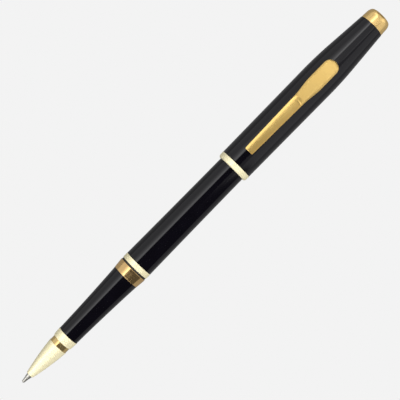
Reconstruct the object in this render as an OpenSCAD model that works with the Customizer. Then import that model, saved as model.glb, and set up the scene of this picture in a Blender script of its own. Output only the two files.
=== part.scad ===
// Rollerball pen with its cap posted on the back of the barrel.
//
// Every turned piece is drawn along its own +Z, with z counted in millimetres from
// the writing ball. along_pen() then lays the pen down: the writing end points to
// -X, the cap's top to +X, the clip up to +Z. The origin is at the middle of the
// box that holds the pen, on the surface that it lies on.

/* [Refill] */
// Length of the whole refill, ball to end plug
refill_len = 111; // [92:0.5:134]
// Outer radius of the refill's ink tube
refill_r = 3.0; // [2.5:0.05:3.6]
// Outer radius of the refill's thin front part
nose_r = 2.1; // [1.8:0.05:2.5]
// Length of the refill ahead of its seating shoulder
nose_len = 31; // [27:0.5:33]
// Outer radius of the refill's metal tip
tip_r = 0.95; // [0.85:0.05:1.1]
// Radius of the writing ball
ball_r = 0.35; // [0.29:0.01:0.42]
// Wall of the refill's ink tube
tube_wall = 0.3; // [0.2:0.05:0.4]

/* [Section] */
// Length of metal tip that stands out of the nose cone
tip_out = 3.1; // [2.6:0.1:3.8]
// Length of the gold nose cone
cone_len = 11.8; // [10.5:0.1:14]
// Length of the groove behind the nose cone
groove_len = 1.7; // [1.2:0.1:2.1]
// Depth of that groove
groove_depth = 0.1; // [0.08:0.01:0.12]
// Length of the gold collar ahead of the grip
collar_len = 2.6; // [2:0.1:3.2]
// Length of the black grip
grip_len = 24; // [20:0.5:29]
// Length of the wide gold ring behind the grip
ring_len = 3.2; // [2.6:0.1:4]
// Thickness of the black washer at the joint
washer_len = 0.6; // [0.4:0.1:0.8]
// Pitch of the thread that joins section and barrel
thread_pitch = 0.8; // [0.6:0.1:1]
// Turns that it takes to unscrew the section
thread_turns = 6; // [4:1:7]

/* [Barrel] */
// Length of the narrow gold ring at the barrel's front
trim_len = 1.7; // [1.3:0.1:2.2]
// Length of the refill spring as it is squeezed in the closed pen
spring_len = 6; // [5:0.1:7.2]
// Radius of the spring's wire
wire_r = 0.22; // [0.18:0.01:0.26]
// Turns of the spring
spring_turns = 5; // [4:0.5:6]
// How much the barrel's radius drops from front to back
barrel_taper = 0.31; // [0.1:0.01:0.4]
// Length of the rounded barrel end
dome_len = 3; // [2.2:0.1:3.6]

/* [Cap] */
// Length of the cap with its finial
cap_len = 62.5; // [52:0.5:75]
// Length of the inner cap, which sets how deep the barrel goes into the posted cap
inner_cap_len = 16.8; // [15:0.1:20]
// Length of the gold lip ring
lip_len = 1.9; // [1.5:0.1:2.3]
// How much the cap's radius grows from lip to shoulder
cap_swell = 0.16; // [0:0.01:0.3]
// Length of the crown, shoulder to finial
crown_len = 17.9; // [16:0.1:21]
// Wall of the crown where it meets the finial
crown_wall = 0.45; // [0.4:0.01:0.6]
// Length of the gold finial
finial_len = 4.1; // [3.4:0.1:4.9]
// Width of the clip's head
clip_w = 4.76; // [3.9:0.02:5.8]
// Width of the clip at its lower end
clip_end_w = 2.84; // [2.4:0.02:3.4]
// Distance from the cap's mouth to the clip's lower end
clip_from_mouth = 6.8; // [5:0.1:9]
// Distance from the finial's end to the clip's rounded end
clip_from_top = 19.7; // [18.5:0.1:20.5]

/* [Hidden] */

$fn = 96;
// Gap between two pieces that are pushed or screwed together
slip = 0.02;
// Gap around a piece that turns or slides in another
run_gap = 0.05;
// Overshoot of a cut past the face that it opens
cut = 0.1;
// Steps along a bowed outline
steps = 12;

// Radii of the section and the barrel, stacked outward from the refill
bore_r = refill_r + 0.1;
connector_r = bore_r + 0.5;
insert_bore_r = connector_r + run_gap;
insert_r = insert_bore_r + 0.45;
barrel_front_r = insert_r + slip + 0.53;
barrel_back_r = barrel_front_r - barrel_taper;
barrel_bow = -0.08;
barrel_bore_r = refill_r + 0.4;
trim_r = barrel_front_r + 0.03;
washer_r = trim_r - 0.16;
ring_front_r = trim_r - 0.28;
grip_back_r = ring_front_r - 0.04;
grip_bow = -0.11;

// Radii of the nose, stacked outward from the refill's front part
nose_bore_r = nose_r + 0.1;
spigot_r = nose_bore_r + 0.55;
grip_front_r = spigot_r + slip + 0.61;
collar_front_r = grip_front_r - 0.14;
collar_back_r = grip_front_r + 0.08;
cone_back_r = spigot_r + 0.36;
cone_mouth_r = tip_r + run_gap + 0.2;
cone_bow = 0.2;

// Places along the pen, from the writing ball
z_cone_back = tip_out + cone_len;
z_collar = z_cone_back + groove_len;
z_grip = z_collar + collar_len;
z_ring = z_grip + grip_len;
z_washer = z_ring + ring_len;
z_trim = z_washer + washer_len;
z_barrel = z_trim + trim_len;
z_spring_seat = refill_len + spring_len;
seat_floor = 0.6;
z_dome = z_spring_seat + seat_floor;
z_end = z_dome + dome_len;
inner_cap_gap = 0.5;
insert_disc_len = 4;
web_len = 4;
post_depth = cap_len - finial_len - web_len - insert_disc_len - inner_cap_len
    - inner_cap_gap;
z_mouth = z_end - post_depth;
z_top = z_mouth + cap_len;
z_finial = z_top - finial_len;
z_shoulder = z_finial - crown_len;

// Refill: front cone, tip and plugs
z_nose_front = 8.5;
nose_front_len = 4;
nose_front_r = 1.3;
tip_back = z_nose_front + 3.5;
tip_step_z = 1.9;
feed_r = 0.45;
feed_front = 2.5;
shoulder_len = 2;
tube_plug_len = 4;
end_flange = 0.6;

// Section: nose spigot and threaded connector
spigot_len = 8.6;
connector_in = 6.2;
thread_len = thread_pitch * thread_turns;
connector_out = thread_len + 1;
insert_len = connector_out + 2.4;

// Barrel end: the spigot that guides the spring
guide_len = 4;
guide_bore_r = barrel_bore_r - 0.5;
spring_r = guide_bore_r - 0.55;

// Radii of the cap, stacked outward from the nose cone, which the inner cap closes
// over, and from the barrel. The clip's hook needs hook_room outside the inner cap.
inner_cap_bore_r = cone_back_r + 0.05;
inner_cap_r = inner_cap_bore_r + 0.54;
hook_room = 1.05;
crown_bore_r = inner_cap_r - 0.1;
cap_bore_r = max(barrel_front_r + 0.1, inner_cap_r + hook_room);
cap_front_r = cap_bore_r + 0.53;
cap_max_r = cap_front_r + cap_swell;
cap_top_r = crown_bore_r + crown_wall;
crown_taper = cap_max_r - cap_top_r;
// The shell's two slopes meet in a point that the shoulder's bend rounds off, and that
// stands this much higher than the shell's largest radius
shoulder_round = 5.4;
front_slope = cap_swell / (z_shoulder - z_mouth - lip_len);
back_slope = crown_taper / crown_len;
shoulder_r = cap_max_r
    + shoulder_round * front_slope * back_slope / (front_slope + back_slope);
lip_r = cap_front_r + 0.06;
lip_bore_r = barrel_r(z_mouth) + 0.09;
clutch_bore_r = barrel_r(z_mouth) + 0.06;

// Cap: what it holds
lip_spigot_len = 1.5;
clutch_len = 12;
clutch_slit_w = 1.2;
clutch_slit_len = 9;
z_web = z_finial - web_len;
z_bore_back = z_shoulder + 1.5;
stud_r = 1.2;
stud_in_finial = 2.3;
insert_disc_r = crown_bore_r - 0.1;
z_insert_disc = z_web - insert_disc_len;
inner_cap_end = 1;
z_inner_cap = z_end + inner_cap_gap;

// Clip, as stations along the pen and heights above its axis
clip_front = z_mouth + clip_from_mouth;
clip_back = z_top - clip_from_top;
clip_mid_w = clip_w - 1.2;
clip_neck = clip_back - 15.7;
clip_widest = clip_back - 8.5;
z_clip_root = clip_back - 2.3;
clip_top_h = cap_max_r + 1.91;
clip_gap = 0.9;
clip_front_h = clip_top_h - 0.75;
clip_back_h = clip_top_h - 0.75;
clip_leg_len = 2.2;
clip_leg_w = 2.6;
clip_slot_gap = 0.3;
hook_len = 1.5;
hook_t = 0.4;
hook_top_h = sqrt(pow(cap_bore_r, 2) - pow(clip_leg_w / 2, 2)) - 0.1;
foot_z = clip_front + 2.3;
foot_r = 0.8;
facet_drop = 0.35;

// Frame of the laid down pen. seam_turn turns every piece about the pen's axis, which
// moves the round pieces' seams and the flats of their simplified forms, and no size. Its
// value was found by trial: a pen laid down on these flats comes to rest, and at most other
// turns that were tried it kept rocking by an amount too small to see.
posted_len = z_top;
axis_h = cap_max_r;
seam_turn = 37.5;

gold = [0.86, 0.70, 0.36];
pale_gold = [0.93, 0.86, 0.58];
lacquer = [0.05, 0.05, 0.06];
steel = [0.72, 0.72, 0.72];
brass = [0.71, 0.58, 0.30];
white_plastic = [0.90, 0.90, 0.88];
grey_plastic = [0.45, 0.46, 0.48];
ink = [0.05, 0.06, 0.20];

// A value that runs from a to b and bows away from the straight line midway
function bowed(a, b, bow, t) = a + (b - a) * t + 4 * bow * t * (1 - t);
// Outline points [radius, z] of a bowed stretch
function stretch(z0, z1, r0, r1, bow = 0, n = 1) =
    [for (i = [0:n]) [bowed(r0, r1, bow, i / n), z0 + (z1 - z0) * i / n]];
// Outline points of a stretch that bends from line a-b into line b-c
function bend(a, b, c, n) = [for (i = [0:n]) let (t = i / n)
    (1 - t) * (1 - t) * a + 2 * t * (1 - t) * b + t * t * c];
// Outline points of a quarter round that closes on the axis side
function quarter(z0, len, r_out, r_in, n) = [for (i = [0:n]) let (a = 90 * i / n)
    [r_in + (r_out - r_in) * cos(a), z0 + len * sin(a)]];
// Points of an arc about [x, y]
function arc(x, y, r, a0, a1, n) =
    [for (i = [0:n]) let (a = a0 + (a1 - a0) * i / n) [x + r * cos(a), y + r * sin(a)]];
// Eases from 0 to 1 with level ends
function ease(t) = t * t * (3 - 2 * t);
// Outer radius of the barrel and of the cap's shell
function barrel_r(z) = bowed(barrel_front_r, barrel_back_r, barrel_bow,
    (z - z_barrel) / (z_dome - z_barrel));
function shell_r(z) = cap_front_r
    + (shoulder_r - cap_front_r) * (z - z_mouth - lip_len)
    / (z_shoulder - z_mouth - lip_len);

module along_pen() {
    translate([-posted_len / 2, 0, axis_h]) rotate([0, 90, 0]) rotate([0, 0, seam_turn])
        children();
}

// A solid turned about the pen's axis from an outline that starts and ends on it
module turned(outline) {
    rotate_extrude()
        polygon(concat([[0, outline[0][1]]], outline, [[0, outline[len(outline) - 1][1]]]));
}

// A straight round stretch, used for shafts and for bores
module round_bar(z0, z1, r) {
    translate([0, 0, z0]) cylinder(h = z1 - z0, r = r);
}

module ring(z0, z1, r_out, r_in) {
    difference() {
        round_bar(z0, z1, r_out);
        round_bar(z0 - cut, z1 + cut, r_in);
    }
}

// ---- section: what the hand holds, screwed to the barrel ----

module nose_cone() {
    color(pale_gold) along_pen() difference() {
        turned(concat(
            stretch(tip_out, z_cone_back, cone_mouth_r, cone_back_r, cone_bow, steps),
            [[cone_back_r - groove_depth, z_cone_back], [cone_back_r - groove_depth, z_collar],
             [spigot_r, z_collar], [spigot_r, z_collar + spigot_len]]));
        round_bar(tip_out - cut, z_nose_front, tip_r + run_gap);
        turned([[nose_front_r + 0.15, z_nose_front - 0.2],
            [nose_bore_r, z_nose_front + nose_front_len - 0.2],
            [nose_bore_r, z_collar + spigot_len + cut]]);
    }
}

module nose_collar() {
    color(gold) along_pen() difference() {
        turned(stretch(z_collar, z_grip, collar_front_r, collar_back_r));
        round_bar(z_collar - cut, z_grip + cut, spigot_r + slip);
    }
}

module grip_shell() {
    spigot_back = z_collar + spigot_len + 0.2;
    color(lacquer) along_pen() difference() {
        turned(stretch(z_grip, z_ring, grip_front_r, grip_back_r, grip_bow, steps));
        round_bar(z_grip - cut, spigot_back, spigot_r + slip);
        round_bar(spigot_back - cut, nose_len + cut, nose_bore_r);
        round_bar(nose_len, z_ring + cut, bore_r);
        round_bar(z_ring - connector_in, z_ring + cut, connector_r + slip);
    }
}

module section_ring() {
    color(gold) along_pen() difference() {
        turned(stretch(z_ring, z_washer, ring_front_r, trim_r));
        round_bar(z_ring - cut, z_washer + cut, connector_r + slip);
    }
}

module joint_washer() {
    color(lacquer) along_pen() ring(z_washer, z_trim, washer_r, connector_r + slip);
}

// The thread on its back half is modelled as a plain shaft at its outer radius
module section_connector() {
    color(brass) along_pen()
        ring(z_ring - connector_in, z_trim + connector_out, connector_r, bore_r);
}

// ---- refill: pushed forward against the section by its spring ----

module refill_ball() {
    color(steel) along_pen() translate([0, 0, ball_r]) sphere(r = ball_r);
}

module refill_tip() {
    mouth_z = ball_r - 0.15;
    color(steel) along_pen() difference() {
        turned([[ball_r + 0.07, mouth_z], [tip_r * 0.7, tip_step_z],
            [tip_r * 0.8, tip_step_z], [tip_r, tip_out + 0.2], [tip_r, tip_back]]);
        translate([0, 0, ball_r]) sphere(r = ball_r + 0.03);
        round_bar(ball_r, feed_front, ball_r * 0.5);
        round_bar(feed_front - slip, tip_back + cut, feed_r + slip);
    }
}

module feed_rod() {
    color(white_plastic) along_pen()
        round_bar(feed_front, nose_len + shoulder_len + tube_plug_len + 4, feed_r);
}

module refill_nose() {
    nose_back = nose_len + shoulder_len;
    color(white_plastic) along_pen() difference() {
        turned([[nose_front_r, z_nose_front], [nose_r, z_nose_front + nose_front_len],
            [nose_r, nose_len], [refill_r, nose_len], [refill_r, nose_back],
            [refill_r - tube_wall - slip, nose_back],
            [refill_r - tube_wall - slip, nose_back + tube_plug_len]]);
        round_bar(z_nose_front - cut, tip_back, tip_r + slip);
        round_bar(tip_back - cut, nose_back + tube_plug_len + cut, feed_r + slip);
    }
}

module refill_tube() {
    color(grey_plastic) along_pen()
        ring(nose_len + shoulder_len, refill_len - end_flange, refill_r, refill_r - tube_wall);
}

module ink_reservoir() {
    front = nose_len + shoulder_len + tube_plug_len + 0.2;
    color(ink) along_pen() difference() {
        round_bar(front, refill_len - end_flange - 2.2, refill_r - tube_wall - 0.1);
        round_bar(front - cut, front + 4, feed_r + slip);
    }
}

module refill_end_plug() {
    color(grey_plastic) along_pen() {
        round_bar(refill_len - end_flange - 2, refill_len - end_flange,
            refill_r - tube_wall - slip);
        round_bar(refill_len - end_flange, refill_len, refill_r);
    }
}

// Wire swept along a helix, from the refill's end plug to the floor of the barrel's end
module refill_spring() {
    sides = 8;
    rings = 16 * spring_turns;
    climb = spring_len - 2 * wire_r - 2 * slip;
    points = [for (i = [0:rings], j = [0:sides - 1])
        let (turn = 360 * spring_turns * i / rings, a = 360 * j / sides,
            r = spring_r + wire_r * cos(a))
        [r * cos(turn), r * sin(turn),
            refill_len + slip + wire_r + climb * i / rings + wire_r * sin(a)]];
    walls = [for (i = [0:rings - 1], j = [0:sides - 1])
        let (k = (j + 1) % sides, a = i * sides, b = a + sides)
        each [[a + j, b + j, b + k], [a + j, b + k, a + k]]];
    ends = [[for (j = [0:sides - 1]) j], [for (j = [sides - 1:-1:0]) rings * sides + j]];
    color(steel) along_pen() polyhedron(points, concat(walls, ends));
}

// ---- barrel ----

module barrel_trim_ring() {
    color(gold) along_pen() ring(z_trim, z_barrel, trim_r, insert_r + slip);
}

// The thread in it is modelled as a plain bore with running room
module barrel_insert() {
    color(brass) along_pen() ring(z_trim, z_trim + insert_len, insert_r, insert_bore_r);
}

module barrel_shell() {
    color(lacquer) along_pen() difference() {
        turned(stretch(z_barrel, z_dome, barrel_front_r, barrel_back_r, barrel_bow, 2 * steps));
        round_bar(z_barrel - cut, z_dome + cut, barrel_bore_r);
        round_bar(z_barrel - cut, z_trim + insert_len, insert_r + slip);
    }
}

module barrel_end_plug() {
    color(lacquer) along_pen() difference() {
        union() {
            turned(quarter(z_dome, dome_len, barrel_back_r, 1, steps));
            round_bar(z_dome - guide_len, z_dome, barrel_bore_r - slip);
        }
        round_bar(z_dome - guide_len - cut, z_spring_seat, guide_bore_r);
    }
}

// ---- cap ----

module cap_lip_ring() {
    lip_back = z_mouth + lip_len;
    color(gold) along_pen() difference() {
        turned([[lip_bore_r + 0.08, z_mouth], [lip_r - 0.45, z_mouth + 0.4],
            [lip_r, lip_back - 0.35], [lip_r, lip_back], [cap_bore_r - slip, lip_back],
            [cap_bore_r - slip, lip_back + lip_spigot_len]]);
        round_bar(z_mouth - cut, lip_back + lip_spigot_len + cut, lip_bore_r);
    }
}

// Springy sleeve that grips the barrel, slit from its back end
module cap_clutch() {
    front = z_mouth + lip_len + lip_spigot_len + 0.2;
    back = front + clutch_len;
    color(brass) along_pen() difference() {
        ring(front, back, cap_bore_r - slip, clutch_bore_r);
        for (a = [45, 135])
            rotate([0, 0, a])
                translate([-cap_bore_r - cut, -clutch_slit_w / 2, back - clutch_slit_len])
                    cube([2 * cap_bore_r + 2 * cut, clutch_slit_w, clutch_slit_len + cut]);
    }
}

module cap_shell() {
    // Slope of the crown's straight taper
    slope = (cap_top_r - shoulder_r) / crown_len;
    color(lacquer) difference() {
        along_pen() difference() {
            turned(concat(
                [[cap_front_r, z_mouth + lip_len]],
                bend([shell_r(z_shoulder - shoulder_round), z_shoulder - shoulder_round],
                    [shoulder_r, z_shoulder],
                    [shoulder_r + slope * shoulder_round, z_shoulder + shoulder_round], steps),
                [[cap_top_r, z_finial]]));
            round_bar(z_mouth, z_bore_back, cap_bore_r);
            turned(stretch(z_bore_back - slip, z_web, cap_bore_r, crown_bore_r));
            round_bar(z_web - cut, z_finial + cut, stud_r + 0.15);
        }
        clip_block(z_clip_root - clip_leg_len / 2 - clip_slot_gap,
            z_clip_root + clip_leg_len / 2 + clip_slot_gap,
            inner_cap_r, clip_top_h, clip_leg_w + clip_slot_gap);
    }
}

// Cup that closes over the writing tip when the cap is on the front end
module inner_cap() {
    color(grey_plastic) along_pen() difference() {
        round_bar(z_inner_cap, z_insert_disc, inner_cap_r);
        round_bar(z_inner_cap - cut, z_insert_disc - inner_cap_end, inner_cap_bore_r);
    }
}

module crown_insert() {
    color(brass) along_pen() ring(z_insert_disc, z_web, insert_disc_r, stud_r + slip);
}

module finial_stud() {
    color(steel) along_pen()
        round_bar(z_insert_disc + 0.3, z_finial + stud_in_finial, stud_r);
}

module cap_finial() {
    color(gold) along_pen() difference() {
        turned(concat([[cap_top_r, z_finial]],
            quarter(z_top - finial_len / 2, finial_len / 2, cap_top_r - 0.16,
                cap_top_r - 1.25, steps)));
        round_bar(z_finial - cut, z_finial + stud_in_finial + slip, stud_r + slip);
    }
}

// A block on top of the pen, between two stations and two heights above the axis
module clip_block(z0, z1, h0, h1, w) {
    translate([z0 - posted_len / 2, -w / 2, axis_h + h0]) cube([z1 - z0, w, h1 - h0]);
}

// Half of the clip's width, seen from above, at station z
function clip_half(z) = z < clip_neck
    ? (clip_end_w + (clip_mid_w - clip_end_w) * (z - clip_front) / (clip_neck - clip_front)) / 2
    : (clip_mid_w + (clip_w - clip_mid_w)
        * ease(min(1, (z - clip_neck) / (clip_widest - clip_neck)))) / 2;

// Outline of the clip from above, one side and then the other
module clip_plan() {
    head_r = clip_w / 2;
    corner = 0.35;
    side = [for (i = [0:steps])
        let (z = clip_neck + (clip_widest - clip_neck) * i / steps) [z, clip_half(z)]];
    upper = concat(
        arc(clip_front + corner, clip_end_w / 2 - corner, corner, 180, 90, 4),
        side,
        arc(clip_back - head_r, 0, head_r, 90, 0, steps));
    lower = [for (i = [len(upper) - 2:-1:0]) [upper[i][0], -upper[i][1]]];
    polygon(concat(upper, lower));
}

// Outline of the clip from the side: a bowed arm, a foot that rests on the cap and a
// head that sits low over the cap's shoulder
module clip_side() {
    shell_h = shell_r(foot_z);
    arm_h = cap_max_r + clip_gap;
    head_h = cap_max_r + 0.2;
    polygon(concat(
        [[clip_front, clip_front_h], [clip_front + 8, clip_top_h - 0.35],
         [clip_neck, clip_top_h], [clip_widest, clip_top_h],
         [z_clip_root - 1, clip_top_h - 0.2], [clip_back, clip_back_h],
         [clip_back, head_h - 0.15], [z_clip_root - 3.5, head_h]],
        bend([clip_widest, arm_h], [clip_neck, arm_h], [clip_front + 9, arm_h - 0.2], 4),
        [[foot_z + 1.6, shell_h + 0.6]],
        arc(foot_z, shell_h + 0.04 + foot_r, foot_r, -60, -120, 4),
        [[clip_front, shell_h + 0.55]]));
}

// Two sloping cuts that give the arm its ridge, from the lower end to the neck
module clip_facets() {
    run = clip_neck - clip_front;
    for (side = [-1, 1])
        translate([clip_front - posted_len / 2 - cut, 0, axis_h])
            rotate([90, 0, 90])
                linear_extrude(height = run + cut)
                    polygon([[0, clip_top_h], [side * clip_w, clip_top_h - 2 * facet_drop],
                        [side * clip_w, clip_top_h + 1], [0, clip_top_h + 1]]);
}

module clip() {
    color(gold) {
        difference() {
            intersection() {
                translate([-posted_len / 2, 0, axis_h])
                    rotate([90, 0, 0])
                        linear_extrude(height = 2 * clip_w, center = true) clip_side();
                translate([-posted_len / 2, 0, axis_h])
                    linear_extrude(height = clip_top_h + cut) clip_plan();
            }
            clip_facets();
        }
        clip_block(z_clip_root - clip_leg_len / 2, z_clip_root + clip_leg_len / 2,
            hook_top_h - hook_t, cap_max_r + 0.5, clip_leg_w);
        clip_block(z_clip_root, z_clip_root + clip_leg_len / 2 + hook_len,
            hook_top_h - hook_t, hook_top_h, clip_leg_w);
    }
}

nose_cone();
nose_collar();
grip_shell();
section_ring();
joint_washer();
section_connector();
refill_ball();
refill_tip();
feed_rod();
refill_nose();
refill_tube();
ink_reservoir();
refill_end_plug();
refill_spring();
barrel_trim_ring();
barrel_insert();
barrel_shell();
barrel_end_plug();
cap_lip_ring();
cap_clutch();
cap_shell();
inner_cap();
crown_insert();
finial_stud();
cap_finial();
clip();
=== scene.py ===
import math

import bmesh
import bpy
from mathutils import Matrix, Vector


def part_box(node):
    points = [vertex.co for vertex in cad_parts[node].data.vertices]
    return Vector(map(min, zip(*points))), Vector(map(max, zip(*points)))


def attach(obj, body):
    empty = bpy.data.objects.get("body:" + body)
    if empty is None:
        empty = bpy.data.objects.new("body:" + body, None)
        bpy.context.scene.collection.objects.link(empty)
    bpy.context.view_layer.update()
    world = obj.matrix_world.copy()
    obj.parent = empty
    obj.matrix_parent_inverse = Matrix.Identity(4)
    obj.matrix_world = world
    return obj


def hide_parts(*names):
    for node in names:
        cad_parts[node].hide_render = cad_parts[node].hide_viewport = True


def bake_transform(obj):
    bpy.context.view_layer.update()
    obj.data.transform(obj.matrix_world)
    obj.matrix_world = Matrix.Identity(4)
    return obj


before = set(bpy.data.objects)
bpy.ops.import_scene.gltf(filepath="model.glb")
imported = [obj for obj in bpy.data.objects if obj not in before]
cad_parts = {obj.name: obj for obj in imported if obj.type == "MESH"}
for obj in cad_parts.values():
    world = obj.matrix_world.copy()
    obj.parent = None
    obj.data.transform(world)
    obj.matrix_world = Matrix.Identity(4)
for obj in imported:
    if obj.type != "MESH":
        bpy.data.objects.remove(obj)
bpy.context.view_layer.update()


# ---------------------------------------------------------------------------
# Refill: a rollerball refill with a carbide ball crimped into a turned steel tip,
# pressed into a moulded plastic nose. Its ink tube, feed rod and fibre reservoir
# sit out of sight in the barrel.
# ---------------------------------------------------------------------------
mm = 0.001
ball_low, ball_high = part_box("refill_ball")
writing_end = ball_low.x
axis_height = (ball_low.z + ball_high.z) / 2


class Wire:
    """The output of one shader node. Sums and products of wires add their own nodes."""

    def __init__(self, finish, socket):
        self.finish = finish
        self.socket = socket

    def sum_up(self, operation, first, second):
        return self.finish.node("ShaderNodeMath", {"operation": operation},
                                {0: first, 1: second})

    def __add__(self, other):
        return self.sum_up("ADD", self, other)

    __radd__ = __add__

    def __mul__(self, other):
        return self.sum_up("MULTIPLY", self, other)

    __rmul__ = __mul__


class Finish:
    """A material built up node by node around one Principled shader."""

    def __init__(self, name, **constants):
        self.material = bpy.data.materials.new(name)
        self.material.use_nodes = True
        self.tree = self.material.node_tree
        self.shader = self.tree.nodes["Principled BSDF"]
        for socket, value in constants.items():
            self.shader.inputs[socket.replace("_", " ")].default_value = value

    def node(self, kind, settings=None, inputs=None, output=0):
        made = self.tree.nodes.new(kind)
        for key, value in (settings or {}).items():
            setattr(made, key, value)
        for key, value in (inputs or {}).items():
            self.plug(made.inputs[key], value)
        return Wire(self, made.outputs[output])

    def plug(self, socket, value):
        if isinstance(value, Wire):
            self.tree.links.new(value.socket, socket)
        else:
            socket.default_value = value

    def drive(self, **sockets):
        for name, value in sockets.items():
            self.plug(self.shader.inputs[name.replace("_", " ")], value)

    def place(self, stretch=(1, 1, 1)):
        """Where a point lies on the pen, stretched along each direction."""
        spot = self.node("ShaderNodeTexCoord", output="Object")
        return self.node("ShaderNodeMapping", {}, {"Vector": spot, "Scale": stretch})

    def grain(self, scale, stretch=(1, 1, 1), detail=3.0, roughness=0.5):
        return self.node("ShaderNodeTexNoise", {},
                         {"Vector": self.place(stretch), "Scale": scale,
                          "Detail": detail, "Roughness": roughness})

    def between(self, low, high, factor):
        return self.node("ShaderNodeMix", {"data_type": "RGBA"},
                         {0: factor, 6: low, 7: high}, output=2)

    def relief(self, height, strength, depth):
        return self.node("ShaderNodeBump", {},
                         {"Height": height, "Strength": strength, "Distance": depth})


def turned_metal(name, light, dark, rough, marks=0.5):
    """A metal turned on a lathe: fine rings around the axis, and a faint unevenness."""
    made = Finish(name, Metallic=1.0)
    rings = made.grain(9000, stretch=(1, 0.02, 0.02), detail=2)
    smear = made.grain(500, detail=4)
    made.drive(Base_Color=made.between(dark, light, 0.35 + 0.65 * smear),
               Roughness=rough - 0.05 + 0.1 * smear + 0.04 * rings,
               Normal=made.relief(rings, 0.12 * marks, 0.00001))
    return made.material


def moulded_plastic(name, light, dark, rough):
    """A moulded plastic with a faint cloudiness and a fine skin."""
    made = Finish(name, Metallic=0.0)
    cloud = made.grain(300, detail=4)
    skin = made.grain(6000, detail=2)
    made.drive(Base_Color=made.between(dark, light, cloud),
               Roughness=rough - 0.06 + 0.12 * cloud,
               Normal=made.relief(skin, 0.15, 0.00001))
    return made.material


def dress(node, material):
    """Gives a piece of the frame its finish."""
    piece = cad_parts[node]
    if not piece.material_slots:
        piece.data.materials.append(material)
    for held in piece.material_slots:
        held.material = material


def turning_tree():
    """Turns an outline about the pen's axis. The outline's points hold their place
    along the pen in x and their radius in z."""
    tree = bpy.data.node_groups.new("turning", "GeometryNodeTree")
    sockets = tree.interface
    sockets.new_socket("Outline", in_out="INPUT", socket_type="NodeSocketGeometry")
    sockets.new_socket("Sides", in_out="INPUT", socket_type="NodeSocketInt")
    sockets.new_socket("Axis Height", in_out="INPUT", socket_type="NodeSocketFloat")
    sockets.new_socket("Finish", in_out="INPUT", socket_type="NodeSocketMaterial")
    sockets.new_socket("Piece", in_out="OUTPUT", socket_type="NodeSocketGeometry")

    def node(kind, settings=None, inputs=None):
        made = tree.nodes.new(kind)
        for key, value in (settings or {}).items():
            setattr(made, key, value)
        for key, value in (inputs or {}).items():
            if isinstance(value, bpy.types.NodeSocket):
                tree.links.new(value, made.inputs[key])
            else:
                made.inputs[key].default_value = value
        return made

    def maths(operation, first, second=0.0):
        return node("ShaderNodeMath", {"operation": operation},
                    {0: first, 1: second}).outputs[0]

    given = node("NodeGroupInput").outputs
    count = node("GeometryNodeAttributeDomainSize", {},
                 {"Geometry": given["Outline"]}).outputs["Point Count"]
    around = maths("ADD", given["Sides"], 1.0)
    grid = node("GeometryNodeMeshGrid", {}, {"Vertices X": around, "Vertices Y": count})
    index = node("GeometryNodeInputIndex").outputs[0]
    turn = maths("FLOOR", maths("DIVIDE", maths("ADD", index, 0.5), count))
    step = maths("ROUND", maths("SUBTRACT", index, maths("MULTIPLY", turn, count)))
    whole = maths("MODULO", turn, given["Sides"])
    angle = maths("MULTIPLY", maths("DIVIDE", whole, given["Sides"]), math.tau)
    corner = node("GeometryNodeSampleIndex", {"data_type": "FLOAT_VECTOR"},
                  {"Geometry": given["Outline"], "Index": step,
                   "Value": node("GeometryNodeInputPosition").outputs[0]}).outputs[0]
    split = node("ShaderNodeSeparateXYZ", {}, {0: corner}).outputs
    across = maths("MULTIPLY", split["Z"], maths("SINE", angle))
    up = maths("ADD", given["Axis Height"],
               maths("MULTIPLY", split["Z"], maths("COSINE", angle)))
    spot = node("ShaderNodeCombineXYZ", {}, {"X": split["X"], "Y": across, "Z": up}).outputs[0]
    shaped = node("GeometryNodeSetPosition", {},
                  {"Geometry": grid.outputs["Mesh"], "Position": spot}).outputs[0]
    closed = node("GeometryNodeMergeByDistance", {},
                  {"Geometry": shaped, "Distance": 0.0000005}).outputs[0]
    smooth = node("GeometryNodeSetShadeSmooth", {}, {"Geometry": closed}).outputs[0]
    real = node("GeometryNodeRealizeInstances", {}, {"Geometry": smooth}).outputs[0]
    dressed = node("GeometryNodeSetMaterial", {},
                   {"Geometry": real, "Material": given["Finish"]}).outputs[0]
    node("NodeGroupOutput", {}, {"Piece": dressed})
    return tree


turning = turning_tree()


def grown(name, start_mesh, tree, values, extra=None):
    """The plain mesh that a node tree makes, as a new object."""
    seed = bpy.data.objects.new(name + "_seed", start_mesh)
    bpy.context.scene.collection.objects.link(seed)
    growth = seed.modifiers.new("growth", "NODES")
    growth.node_group = tree
    for item in tree.interface.items_tree:
        if item.in_out == "INPUT" and item.name in values:
            growth[item.identifier] = values[item.name]
    if extra:
        extra(seed)
    seen = seed.evaluated_get(bpy.context.evaluated_depsgraph_get())
    mesh = bpy.data.meshes.new_from_object(seen)
    mesh.name = name
    mesh.materials.clear()
    mesh.materials.append(values["Finish"])
    mesh.polygons.foreach_set("material_index", [0] * len(mesh.polygons))
    bpy.data.objects.remove(seed)
    piece = bpy.data.objects.new(name, mesh)
    bpy.context.scene.collection.objects.link(piece)
    return piece


def tidy_mesh(piece, crease=32):
    """Faces outwards, smooth, with the corners sharper than crease kept crisp."""
    work = bmesh.new()
    work.from_mesh(piece.data)
    bmesh.ops.dissolve_degenerate(work, dist=0.0000004, edges=work.edges)
    bmesh.ops.recalc_face_normals(work, faces=work.faces)
    work.to_mesh(piece.data)
    work.free()
    piece.data.shade_smooth()
    piece.data.set_sharp_from_angle(angle=math.radians(crease))


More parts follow.
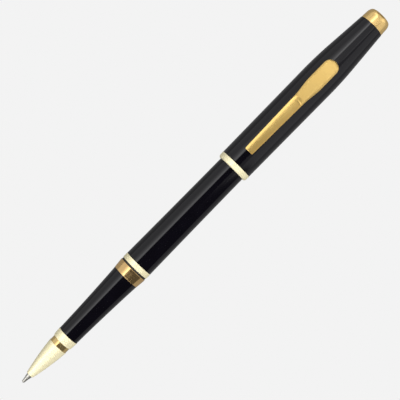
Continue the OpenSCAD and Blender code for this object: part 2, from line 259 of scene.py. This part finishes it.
def eased(corners):
    """A closed outline from corners (station, radius, easing), each rounded by its easing
    and held by a point close by on either side, so that the long faces shade straight.
    Stations are millimetres from the writing end."""
    made = []
    for i, (station, radius, easing) in enumerate(corners):
        here = Vector((station, radius))
        if not easing:
            made.append(here)
            continue
        before = Vector(corners[i - 1][:2]) - here
        after = Vector(corners[(i + 1) % len(corners)][:2]) - here
        first = here + before.normalized() * min(easing, before.length * 0.45)
        last = here + after.normalized() * min(easing, after.length * 0.45)
        if before.length > 2.5 * easing + 0.3:
            made.append(first + before.normalized() * 0.1)
        for t in (0, 0.25, 0.5, 0.75, 1):
            made.append(first * (1 - t) ** 2 + here * 2 * t * (1 - t) + last * t ** 2)
        if after.length > 2.5 * easing + 0.3:
            made.append(last + after.normalized() * 0.1)
    return made + [made[0]]


def turned(name, corners, material, body, nodes, sides=144, extra=None):
    """A piece turned from its outline, on its body, in place of its plain node."""
    points = [(writing_end + p.x * mm, 0, p.y * mm) for p in eased(corners)]
    outline = bpy.data.meshes.new(name + "_outline")
    outline.from_pydata(points, [(i, i + 1) for i in range(len(points) - 1)], [])
    piece = grown(name, outline, turning,
                  {"Sides": sides, "Axis Height": axis_height, "Finish": material}, extra)
    tidy_mesh(piece)
    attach(piece, body)
    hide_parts(*nodes)
    return piece


def bowed(low, high, bow, t):
    return low + (high - low) * t + 4 * bow * t * (1 - t)


tip_metal = turned_metal("tip_steel", (0.66, 0.64, 0.58, 1), (0.5, 0.49, 0.46, 1), 0.28)
ball_metal = turned_metal("ball_carbide", (0.42, 0.42, 0.44, 1), (0.3, 0.3, 0.32, 1), 0.2, 0.2)
white_mould = moulded_plastic("refill_white", (0.86, 0.86, 0.83, 1), (0.78, 0.78, 0.76, 1), 0.4)
grey_mould = moulded_plastic("refill_grey", (0.32, 0.33, 0.35, 1), (0.25, 0.26, 0.28, 1), 0.4)
ink_fibre = Finish("ink_soaked_fibre", Metallic=0.0)
strands = ink_fibre.grain(4000, stretch=(0.05, 1, 1), detail=4)
dark_ink, pale_ink = (0.01, 0.012, 0.05, 1), (0.03, 0.04, 0.14, 1)
ink_fibre.drive(Base_Color=ink_fibre.between(dark_ink, pale_ink, strands),
                Roughness=0.65 + 0.2 * strands,
                Normal=ink_fibre.relief(strands, 0.6, 0.00005))

tip_r = 0.95
mouth_bore_r, feed_bore_r = 0.17, 0.47
turned("writing_tip",
       [(0.2, mouth_bore_r, 0), (0.2, 0.42, 0.04), (1.0, 0.54, 0.2), (1.85, 0.665, 0.03),
        (1.95, 0.72, 0.02), (2.0, 0.76, 0.03), (3.1, 0.94, 0.1), (3.3, tip_r, 0.05),
        (12, tip_r, 0.05), (12, feed_bore_r, 0), (2.5, feed_bore_r, 0), (0.7, mouth_bore_r, 0)],
       tip_metal, "refill", ["refill_tip"], sides=96)
dress("refill_ball", ball_metal)
dress("refill_nose", white_mould)
dress("feed_rod", white_mould)
dress("refill_tube", grey_mould)
dress("refill_end_plug", grey_mould)
dress("ink_reservoir", ink_fibre.material)


# ---------------------------------------------------------------------------
# Nose cone and collar: a brass cone, turned with a groove at its back and plated in
# pale gold, and a separate gold collar pushed on behind it. The cone's spigot screws
# into the grip and holds both.
# ---------------------------------------------------------------------------
def plated(name, light, dark, rough, metal, wear=0.5):
    """Plating over turned brass: a satin skin with faint lathe rings, fine wiping
    scratches along the pen and slightly deeper colour in patches."""
    made = Finish(name, Metallic=metal)
    rings = made.grain(7000, stretch=(1, 0.03, 0.03), detail=2)
    wipes = made.grain(2500, stretch=(0.06, 1, 1), detail=3)
    patch = made.grain(160, detail=4)
    made.drive(Base_Color=made.between(dark, light, 0.45 + 0.55 * patch),
               Roughness=rough - 0.05 + 0.07 * patch + 0.05 * wear * wipes,
               Normal=made.relief(0.6 * rings + 0.4 * wipes, 0.012 * wear, 0.00001))
    return made.material


pale_gold = plated("pale_gold_plating", (0.98, 0.91, 0.62, 1), (0.96, 0.84, 0.50, 1), 0.4, 0.55)
groove_gold = plated("groove_plating", (0.92, 0.70, 0.32, 1), (0.76, 0.50, 0.17, 1), 0.16, 0.92)
gold = plated("gold_plating", (0.96, 0.68, 0.28, 1), (0.92, 0.58, 0.19, 1), 0.22, 0.88)
ring_gold = plated("ring_plating", (0.95, 0.66, 0.30, 1), (0.88, 0.50, 0.18, 1), 0.16, 0.96)

cone_front, cone_back, groove_back = 3.1, 14.9, 16.6
mouth_r, cone_r, groove_r, spigot_r = 1.2, 3.11, 3.01, 2.75
cone_line = [(cone_front + (cone_back - cone_front) * i / 16,
              bowed(mouth_r, cone_r, 0.2, i / 16), 0) for i in range(1, 16)]
turned("grooved_nose_cone",
       [(cone_front, 1.0, 0.03), (cone_front, mouth_r, 0.1)] + cone_line
       + [(cone_back, cone_r, 0.08), (cone_back + 0.02, groove_r, 0.05),
          (groove_back - 0.02, groove_r, 0), (groove_back, spigot_r, 0),
          (25.2, spigot_r, 0.1), (25.2, 2.2, 0), (12.3, 2.2, 0), (8.3, 1.45, 0), (8.3, 1.0, 0)],
       pale_gold, "section", ["nose_cone"])

# The groove's floor was never wiped: its plating is brighter and of a deeper gold.
cone = bpy.data.objects["grooved_nose_cone"]
cone.data.materials.append(groove_gold)
for face in cone.data.polygons:
    station = (face.center.x - writing_end) / mm
    radius = math.hypot(face.center.y, face.center.z - axis_height) / mm
    if cone_back < station < groove_back and radius > spigot_r + 0.02:
        face.material_index = 1

collar_back, collar_front_r, collar_back_r = 19.2, 3.24, 3.46
turned("gold_collar",
       [(groove_back, spigot_r + 0.02, 0), (groove_back, collar_front_r, 0.14),
        (groove_back + 1.3, 3.38, 0.6), (collar_back, collar_back_r, 0.06),
        (collar_back, spigot_r + 0.02, 0)],
       pale_gold, "section", ["nose_collar"])


# ---------------------------------------------------------------------------
# Grip, wide ring, washer and connector: the black lacquered grip tapers to the
# collar, a gold ring closes its back, and a brass connector with a coarse thread
# screws the whole section into the barrel against a thin washer, near black as
# painted shade for the gap at the joint.
# ---------------------------------------------------------------------------
def lacquer(name, shade, rough):
    """Deep gloss lacquer: almost black, a slow waviness from polishing, and a few very
    fine scratches along the pen."""
    made = Finish(name, Metallic=0.0, IOR=1.5)
    wave = made.grain(220, detail=2)
    fine = made.grain(3000, stretch=(0.04, 1, 1), detail=3)
    deep = tuple(0.5 * part for part in shade[:3]) + (1,)
    made.drive(Base_Color=made.between(deep, shade, wave),
               Roughness=rough + 0.03 * wave + 0.03 * fine,
               Normal=made.relief(fine, 0.02, 0.000005))
    return made.material


black_lacquer = lacquer("black_lacquer", (0.0022, 0.0018, 0.0036, 1), 0.05)
grip_front, grip_back = 19.2, 43.2
grip_front_r, grip_back_r = 3.38, 4.36
grip_line = [(grip_front + (grip_back - grip_front) * i / 20,
              bowed(grip_front_r, grip_back_r, -0.11, i / 20), 0) for i in range(1, 20)]
turned("lacquered_grip",
       [(grip_front, spigot_r + 0.02, 0), (grip_front, grip_front_r, 0.07)] + grip_line
       + [(grip_back, grip_back_r, 0.07), (grip_back, 3.62, 0), (37, 3.62, 0), (37, 3.1, 0),
          (31, 3.1, 0), (31, 2.2, 0), (25.4, 2.2, 0), (25.4, spigot_r + 0.02, 0)],
       black_lacquer, "section", ["grip_shell"])

ring_back = 46.4
turned("wide_gold_ring",
       [(grip_back, 3.62, 0), (grip_back, 4.40, 0.1), (ring_back - 0.6, 4.66, 0.4),
        (ring_back, 4.66, 0.12), (ring_back, 3.62, 0)],
       ring_gold, "section", ["section_ring"])

joint_front = 47.0
# The washer's near-black colour is painted shade: it stands in for the dark gap at the joint.
joint_shade_black = moulded_plastic("painted_joint_shade", (0.02, 0.018, 0.016, 1), (0.008, 0.008, 0.008, 1), 0.6)
turned("joint_washer_ring",
       [(ring_back, 3.62, 0), (ring_back, 4.50, 0.08), (joint_front, 4.50, 0.08),
        (joint_front, 3.62, 0)],
       joint_shade_black, "section", ["joint_washer"])


def coil_tree():
    """Wire swept along a coil about the pen's axis."""
    tree = bpy.data.node_groups.new("coil", "GeometryNodeTree")
    for name, kind in (("Turns", "Float"), ("Coil Radius", "Float"), ("Length", "Float"),
                       ("Wire Radius", "Float"), ("Wire Sides", "Int"), ("Steps", "Int"),
                       ("Start", "Float"), ("Axis Height", "Float"), ("Finish", "Material")):
        tree.interface.new_socket(name, in_out="INPUT", socket_type="NodeSocket" + kind)
    tree.interface.new_socket("Piece", in_out="OUTPUT", socket_type="NodeSocketGeometry")

    def node(kind, inputs=None, **settings):
        made = tree.nodes.new(kind)
        for key, value in settings.items():
            setattr(made, key, value)
        for key, value in (inputs or {}).items():
            if isinstance(value, bpy.types.NodeSocket):
                tree.links.new(value, made.inputs[key])
            else:
                made.inputs[key].default_value = value
        return made

    given = node("NodeGroupInput").outputs
    path = node("GeometryNodeCurveSpiral",
                {"Resolution": given["Steps"], "Rotations": given["Turns"],
                 "Start Radius": given["Coil Radius"], "End Radius": given["Coil Radius"],
                 "Height": given["Length"]}).outputs[0]
    place = node("ShaderNodeCombineXYZ",
                 {"X": given["Start"], "Z": given["Axis Height"]}).outputs[0]
    laid = node("GeometryNodeTransform",
                {"Geometry": path, "Translation": place,
                 "Rotation": (0, math.pi / 2, 0)}).outputs[0]
    section = node("GeometryNodeCurvePrimitiveCircle",
                   {"Resolution": given["Wire Sides"], "Radius": given["Wire Radius"]}).outputs[0]
    swept = node("GeometryNodeCurveToMesh",
                 {"Curve": laid, "Profile Curve": section, "Fill Caps": True}).outputs[0]
    smooth = node("GeometryNodeSetShadeSmooth", {"Geometry": swept}).outputs[0]
    real = node("GeometryNodeRealizeInstances", {"Geometry": smooth}).outputs[0]
    dressed = node("GeometryNodeSetMaterial",
                   {"Geometry": real, "Material": given["Finish"]}).outputs[0]
    node("NodeGroupOutput", {"Piece": dressed})
    return tree


coil = coil_tree()


def coiled(name, start, length, turns, radius, wire, material, sides=10):
    piece = grown(name, bpy.data.meshes.new(name + "_start"), coil,
                  {"Turns": turns, "Coil Radius": radius * mm, "Length": length * mm,
                   "Wire Radius": wire * mm, "Wire Sides": sides, "Steps": 48,
                   "Start": writing_end + start * mm, "Axis Height": axis_height,
                   "Finish": material})
    tidy_mesh(piece, 50)
    return piece


def joined(*pieces):
    """Several meshes as one piece, kept under the first one's name."""
    work = bmesh.new()
    for piece in pieces:
        work.from_mesh(piece.data)
    work.to_mesh(pieces[0].data)
    work.free()
    for piece in pieces[1:]:
        bpy.data.objects.remove(piece)
    return pieces[0]


brass = turned_metal("turned_brass", (0.78, 0.58, 0.27, 1), (0.62, 0.43, 0.17, 1), 0.27)
thread_front, thread_turns, ridge_pitch = 47.85, 6, 0.74
connector_back, root_r = 52.8, 3.34
connector = turned("threaded_connector",
                   [(37.0, 3.1, 0), (37.0, 3.6, 0.06), (47.5, 3.6, 0.08), (47.7, root_r, 0.05),
                    (connector_back - 0.2, root_r, 0.05), (connector_back, root_r - 0.1, 0.03),
                    (connector_back, 3.1, 0)],
                   brass, "section", ["section_connector"])
ridge = coiled("thread_ridge", thread_front, ridge_pitch * thread_turns, thread_turns - 0.05,
               root_r + 0.03, 0.22, brass, sides=8)
joined(connector, ridge)


# ---------------------------------------------------------------------------
# Barrel: a lacquered brass tube that narrows slightly to the back, with a pale gold
# ring and a threaded brass insert pressed into its mouth, and a domed black end plug.
# ---------------------------------------------------------------------------
trim_front, trim_back = 47.0, 48.7
barrel_front_r, barrel_back_r, insert_r = 4.65, 4.34, 4.1
turned("barrel_mouth_ring",
       [(trim_front, insert_r + 0.02, 0), (trim_front, 4.67, 0.12), (trim_back, 4.67, 0.08),
        (trim_back, insert_r + 0.02, 0)],
       pale_gold, "barrel", ["barrel_trim_ring"])
dress("barrel_insert", brass)

barrel_back, dome_back = 117.6, 120.6
barrel_line = [(trim_back + (barrel_back - trim_back) * i / 30,
                bowed(barrel_front_r, barrel_back_r, -0.08, i / 30), 0) for i in range(1, 30)]
turned("lacquered_barrel",
       [(trim_back, insert_r + 0.02, 0), (trim_back, barrel_front_r, 0.07)] + barrel_line
       + [(barrel_back, barrel_back_r, 0.02), (barrel_back, 3.4, 0), (55.2, 3.4, 0),
          (55.2, insert_r + 0.02, 0)],
       black_lacquer, "barrel", ["barrel_shell"])

dome = [(barrel_back + 3.0 * math.sin(math.radians(a)),
         1.0 + (barrel_back_r - 1.0) * math.cos(math.radians(a)), 0) for a in range(6, 90, 6)]
turned("domed_end_plug",
       [(113.6, 2.9, 0), (113.6, 3.38, 0.1), (barrel_back + 0.02, 3.38, 0),
        (barrel_back + 0.02, barrel_back_r - 0.01, 0.03)] + dome
       + [(dome_back, 1.0, 0.1), (dome_back, 0, 0), (117.0, 0, 0), (117.0, 2.9, 0)],
       black_lacquer, "barrel", ["barrel_end_plug"])

# The spring that pushes the refill forward: steel wire wound in five turns between
# the refill's end plug and the barrel's end. In the pen it stretches as the refill
# goes forward; here it is wound at one length.
spring_steel = turned_metal("spring_wire", (0.62, 0.61, 0.59, 1), (0.48, 0.48, 0.47, 1), 0.25)
spring_front, spring_len, spring_turns, coil_r, wire_r = 111.26, 5.48, 5, 2.35, 0.22
spring = coiled("wound_spring", spring_front, spring_len, spring_turns, coil_r, wire_r, spring_steel)
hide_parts("refill_spring")
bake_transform(spring)


# ---------------------------------------------------------------------------
# Cap shell and lip ring: a lacquered brass shell, swelling a little towards its
# shoulder and then tapering in a straight crown, with a slot for the clip's foot. A
# pale gold lip ring is pressed into its mouth, and a slit brass sleeve inside it grips
# the barrel.
# ---------------------------------------------------------------------------
mouth, lip_back = 87.5, 89.4
cap_front_r, cap_max_r, cap_top_r, cap_bore_r, crown_bore_r = 5.28, 5.44, 4.05, 4.75, 3.6
shoulder, finial_front = 128.0, 145.9
cap_peak_r = cap_max_r + 0.02
slope = (cap_top_r - cap_peak_r) / (finial_front - shoulder)
swell = (cap_peak_r - cap_front_r) / (shoulder - lip_back)
bend_reach = 5.4
bend_front = Vector((shoulder - bend_reach, cap_peak_r - swell * bend_reach))
bend_mid = Vector((shoulder, cap_peak_r))
bend_back = Vector((shoulder + bend_reach, cap_peak_r + slope * bend_reach))
bend = [bend_front * (1 - t) ** 2 + bend_mid * 2 * t * (1 - t) + bend_back * t ** 2
        for t in [i / 18 for i in range(19)]]

clip_front, clip_back, clip_root = 94.3, 130.3, 128.0


def box_mesh(name, x0, x1, half_width, z0, z1):
    """A plain block on top of the pen: stations, half its width, heights over the axis."""
    corners = [(writing_end + x * mm, y * mm, axis_height + z * mm)
               for x in (x0, x1) for y in (-half_width, half_width) for z in (z0, z1)]
    mesh = bpy.data.meshes.new(name)
    mesh.from_pydata(corners, [], [(0, 1, 3, 2), (4, 6, 7, 5), (0, 4, 5, 1), (2, 3, 7, 6),
                                   (0, 2, 6, 4), (1, 5, 7, 3)])
    piece = bpy.data.objects.new(name, mesh)
    bpy.context.scene.collection.objects.link(piece)
    return piece


cutter = box_mesh("slot_cutter", clip_root - 1.4, clip_root + 1.4, 1.45, 3.7, 7.0)


def cut_slot(seed):
    slot = seed.modifiers.new("slot", "BOOLEAN")
    slot.operation = "DIFFERENCE"
    slot.solver = "EXACT"
    slot.object = cutter


turned("lacquered_cap",
       [(lip_back, cap_bore_r, 0), (lip_back, cap_front_r, 0.06)]
       + [(p.x, p.y, 0) for p in bend]
       + [(finial_front, cap_top_r, 0.06), (finial_front, 1.35, 0), (141.9, 1.35, 0),
          (141.9, crown_bore_r, 0), (129.5, cap_bore_r, 0)],
       black_lacquer, "cap", ["cap_shell"], extra=cut_slot)
bpy.data.objects.remove(cutter)

lip_bore_r = 4.51
turned("lip_ring",
       [(mouth, lip_bore_r + 0.08, 0.03), (mouth, 4.85, 0.1), (mouth + 0.42, 5.24, 0.12),
        (lip_back, 5.32, 0.08), (lip_back, cap_bore_r - 0.02, 0),
        (lip_back + 1.5, cap_bore_r - 0.02, 0.1), (lip_back + 1.5, lip_bore_r, 0),
        (mouth + 0.1, lip_bore_r, 0)],
       pale_gold, "cap", ["cap_lip_ring"])
dress("cap_clutch", brass)
dress("inner_cap", grey_mould)
dress("crown_insert", brass)
dress("finial_stud", spring_steel)


# ---------------------------------------------------------------------------
# Finial: a solid gold-plated button, slightly tapered, with a rounded edge and a flat
# face. A steel stud screws it down on the crown.
# ---------------------------------------------------------------------------
top = 150.0
edge = [(top - 2.05 + 2.05 * math.sin(math.radians(a)),
         2.8 + (3.89 - 2.8) * math.cos(math.radians(a)), 0) for a in range(6, 90, 7)]
turned("gold_finial",
       [(finial_front + 0.02, 1.22, 0), (finial_front + 0.02, cap_top_r - 0.05, 0.08)]
       + edge + [(top, 2.8, 0.1), (top, 0, 0), (148.2, 0, 0), (148.2, 1.22, 0)],
       gold, "cap", ["cap_finial"])


# ---------------------------------------------------------------------------
# Clip: a stamped and plated brass spring. Its arm has a ridge between two facets and
# thin raised rims, its head is a flat spoon with a bevelled border, and its foot rests
# on the shell. A leg under the head hooks into the cap through the slot.
# ---------------------------------------------------------------------------
clip_w, clip_end_w, clip_mid_w = 4.76, 2.84, 3.56
neck, widest = 114.6, 121.8
head_centre = clip_back - clip_w / 2


def clip_half(z):
    if z < neck:
        return (clip_end_w + (clip_mid_w - clip_end_w) * (z - clip_front) / (neck - clip_front)) / 2
    if z > head_centre:
        return math.sqrt(max((clip_w / 2) ** 2 - (z - head_centre) ** 2, 0))
    t = min(1, (z - neck) / (widest - neck))
    return (clip_mid_w + (clip_w - clip_mid_w) * t * t * (3 - 2 * t)) / 2


def along(z, knots):
    """A height read off a list of (station, height), straight between its knots."""
    for (z0, h0), (z1, h1) in zip(knots, knots[1:]):
        if z <= z1:
            return h0 + (h1 - h0) * (z - z0) / (z1 - z0)
    return knots[-1][1]


top_line = [(clip_front, 6.62), (98.3, 6.90), (102.3, 7.10), (108, 7.26), (neck, 7.34),
            (widest, 7.34), (125.5, 7.30), (127.5, 7.24), (129.2, 7.12), (clip_back, 6.98)]
under_line = [(clip_front, 5.86), (95.6, 5.50), (96.6, 5.36), (97.6, 5.50), (99.2, 6.0),
              (103.3, 6.2), (neck, 6.32), (119, 6.28), (122.0, 5.95), (124.5, 5.66), (clip_back, 5.52)]
gold_clip = plated("clip_plating", (0.97, 0.68, 0.23, 1), (0.94, 0.60, 0.17, 1), 0.34, 0.91)

facet_end = 114.9
rim, facet_depth = 0.22, 0.32
stations = [clip_front + 0.001, clip_front + 0.08, clip_front + 0.25]
stations += [clip_front + 0.25 + (facet_end - clip_front - 0.5) * i / 24 for i in range(1, 25)]
stations += [facet_end + 0.05]
stations += [facet_end + 0.05 + (head_centre - facet_end - 0.05) * i / 14 for i in range(1, 15)]
end_angles = (8, 16, 24, 32, 40, 48, 56, 63, 70, 76, 81, 85, 88)
stations += [head_centre + clip_w / 2 * math.sin(math.radians(a)) for a in end_angles]

# Where the arm meets the head, the inner corners lean so that the facets end on a slant.
slant = [0, 0, 0, 0, 0.05, -0.4, -0.4, 0, 0]
straight = [0] * len(slant)
bevel = 0.5
flat_from = 118

work = bmesh.new()
top_rows, under_rows = [], []
for z in stations:
    half = clip_half(z)
    if z < clip_front + 0.3:
        half -= 0.3 * (1 - math.sqrt(max(0, 1 - (1 - (z - clip_front) / 0.3) ** 2)))
    height, under = along(z, top_line), along(z, under_line)
    inner = half
    if z > head_centre:
        reach = z - head_centre
        inner = math.sqrt(max((clip_w / 2 - bevel) ** 2 - reach ** 2, 0))
        height -= 0.5 * max(0, reach - clip_w / 2 + bevel)
    on_arm = z < facet_end
    ridge_y = 0.02 + 0.42 * (z - clip_front) / (facet_end - clip_front)
    border = bevel
    if z <= flat_from:
        border = 0.28 + 0.22 * max(0, (z - facet_end) / (flat_from - facet_end))
    border = min(max(border, half - inner if inner < half else 0), half * 0.6)
    if on_arm:
        low = height - facet_depth
        across = [(half, height - 0.30), (half - 0.07, height - 0.20), (half - rim, height - 0.18),
                  (half - rim - 0.05, low + 0.16), (ridge_y, height),
                  (-half + rim + 0.05, low), (-half + rim, height - 0.18),
                  (-half + 0.07, height - 0.20), (-half, height - 0.30)]
    else:
        across = [(half, height - 0.36), (half - 0.07, height - 0.27), (half - border, height - 0.02),
                  (half - border - 0.04, height), (min(ridge_y, half * 0.4), height),
                  (-half + border + 0.04, height), (-half + border, height - 0.02),
                  (-half + 0.07, height - 0.27), (-half, height - 0.36)]
    lean = slant if facet_end - 1 < z < facet_end + 1 else straight
    row = []
    for (y, h), shift in zip(across, lean):
        row.append(work.verts.new((writing_end + (z + shift) * mm, y * mm, axis_height + h * mm)))
    top_rows.append(row)
    low_row = []
    for y in (half, half - 0.12, -half + 0.12, -half):
        rise = 0.1 if abs(abs(y) - half) < 0.001 else 0.0
        low_row.append(work.verts.new((writing_end + z * mm, y * mm,
                                       axis_height + (under + rise) * mm)))
    under_rows.append(low_row)


def skin(rows):
    for first, second in zip(rows, rows[1:]):
        for i in range(len(first) - 1):
            work.faces.new((first[i], second[i], second[i + 1], first[i + 1]))


loops = [top + low[::-1] + [top[0]] for top, low in zip(top_rows, under_rows)]
skin(loops)
work.faces.new(loops[0][:-1])
work.faces.new(loops[-1][:-1][::-1])
clip_mesh = bpy.data.meshes.new("faceted_clip")
bmesh.ops.recalc_face_normals(work, faces=work.faces)
work.to_mesh(clip_mesh)
work.free()
clip = bpy.data.objects.new("faceted_clip", clip_mesh)
bpy.context.scene.collection.objects.link(clip)
leg = box_mesh("clip_leg", clip_root - 1.1, clip_root + 1.1, 1.3, 4.07, 5.9)
hook = box_mesh("clip_hook", clip_root + 1.0, clip_root + 2.6, 1.3, 4.07, 4.47)
joined(clip, leg, hook)
clip.data.materials.clear()
clip.data.materials.append(gold_clip)
tidy_mesh(clip, 24)
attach(clip, "clip")
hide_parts("clip")


# ---------------------------------------------------------------------------
# Stage: a plain pale floor, a soft panel along one side of the pen that grows brighter
# towards its top, soft panels beyond both ends, two beside the cap, a small one over the
# clip's head, and an overhead fill that leaves no highlight.
# ---------------------------------------------------------------------------
def stage_shade(name, seen, reflected):
    """Even light for the camera, and a dimmer one for the gloss of the pen."""
    made = bpy.data.materials.new(name)
    made.use_nodes = True
    nodes, links = made.node_tree.nodes, made.node_tree.links
    nodes.clear()
    ray = nodes.new("ShaderNodeLightPath")
    mix = nodes.new("ShaderNodeMix")
    mix.data_type = "RGBA"
    mix.inputs[6].default_value = (reflected, reflected, reflected, 1)
    mix.inputs[7].default_value = (seen, seen, seen, 1)
    glow = nodes.new("ShaderNodeEmission")
    out = nodes.new("ShaderNodeOutputMaterial")
    links.new(ray.outputs["Is Camera Ray"], mix.inputs[0])
    links.new(mix.outputs[2], glow.inputs["Color"])
    links.new(glow.outputs[0], out.inputs["Surface"])
    return made


pale = 0.896
floor_mesh = bpy.data.meshes.new("floor")
floor_mesh.from_pydata([(-3, -3, -0.00002), (3, -3, -0.00002), (3, 3, -0.00002), (-3, 3, -0.00002)],
                       [], [(0, 1, 2, 3)])
floor_mesh.materials.append(stage_shade("pale_floor", pale, 0.32))
floor = bpy.data.objects.new("floor", floor_mesh)
bpy.context.scene.collection.objects.link(floor)

world = bpy.data.worlds.new("studio")
bpy.context.scene.world = world
world.use_nodes = True
ray = world.node_tree.nodes.new("ShaderNodeLightPath")
air = world.node_tree.nodes["Background"]
sky = world.node_tree.nodes.new("ShaderNodeMix")
sky.data_type = "RGBA"
sky.inputs[6].default_value = (0.025, 0.025, 0.025, 1)
sky.inputs[7].default_value = (pale, pale, pale, 1)
world.node_tree.links.new(ray.outputs["Is Camera Ray"], sky.inputs[0])
world.node_tree.links.new(sky.outputs[2], air.inputs["Color"])


def panel(name, centre, target, width, height, brightness):
    """A soft light of an even brightness that faces its target."""
    light = bpy.data.lights.new(name, "AREA")
    light.shape = "RECTANGLE"
    light.size = width
    light.size_y = height
    light.energy = brightness * math.pi * width * height
    lamp = bpy.data.objects.new(name, light)
    lamp.location = centre
    lamp.rotation_euler = (Vector(target) - Vector(centre)).to_track_quat("-Z", "Y").to_euler()
    lamp.visible_camera = False
    bpy.context.scene.collection.objects.link(lamp)
    return lamp


panel("side_panel", (0, 0.5, 0.6), (0, 0, 0.6), 1.8, 1.2, 0.6)
side_top = 1.6
steps = ((0.49, 0.42, 0.2), (0.48, 0.55, 0.25), (0.47, 0.7, 0.45), (0.46, 0.92, 0.8))
for away, low_edge, brighter in steps:
    middle = (low_edge + side_top) / 2
    panel("side_step", (0, away, middle), (0, 0, middle), 1.8, side_top - low_edge, brighter)
panel("nose_panel", (-0.6, 0, 0.8), (0, 0, 0.8), 1.2, 1.5, 1.0)
panel("crown_panel", (0.5, 0, 1.2), (0, 0, 1.2), 1.2, 2.0, 0.6)
panel("cap_panel", (0.635, -0.5, 0.3), (0.635, 0, 0.3), 1.2, 0.6, 0.62)
panel("cap_panel_top", (0.635, -0.5, 0.95), (0.635, 0, 0.95), 1.2, 0.7, 0.3)
panel("head_panel", (0.27, 0, 1.2), (0.27, 0, 0), 0.2, 0.5, 1.3)
fill = panel("overhead_fill", (0, -0.7, 1.2), (0, 0, 0), 1.6, 1.2, 4.6)
fill.visible_glossy = False

scene = bpy.context.scene
eye = bpy.data.cameras.new("eye")
eye.sensor_width = 36
eye.lens = 116.95
camera = bpy.data.objects.new("eye", eye)
camera.location = (-0.0005, 0.0002, axis_height + 0.3806)
camera.rotation_euler = (0, 0, math.radians(-45.6055))
scene.collection.objects.link(camera)
scene.camera = camera
scene.view_settings.view_transform = "Standard"
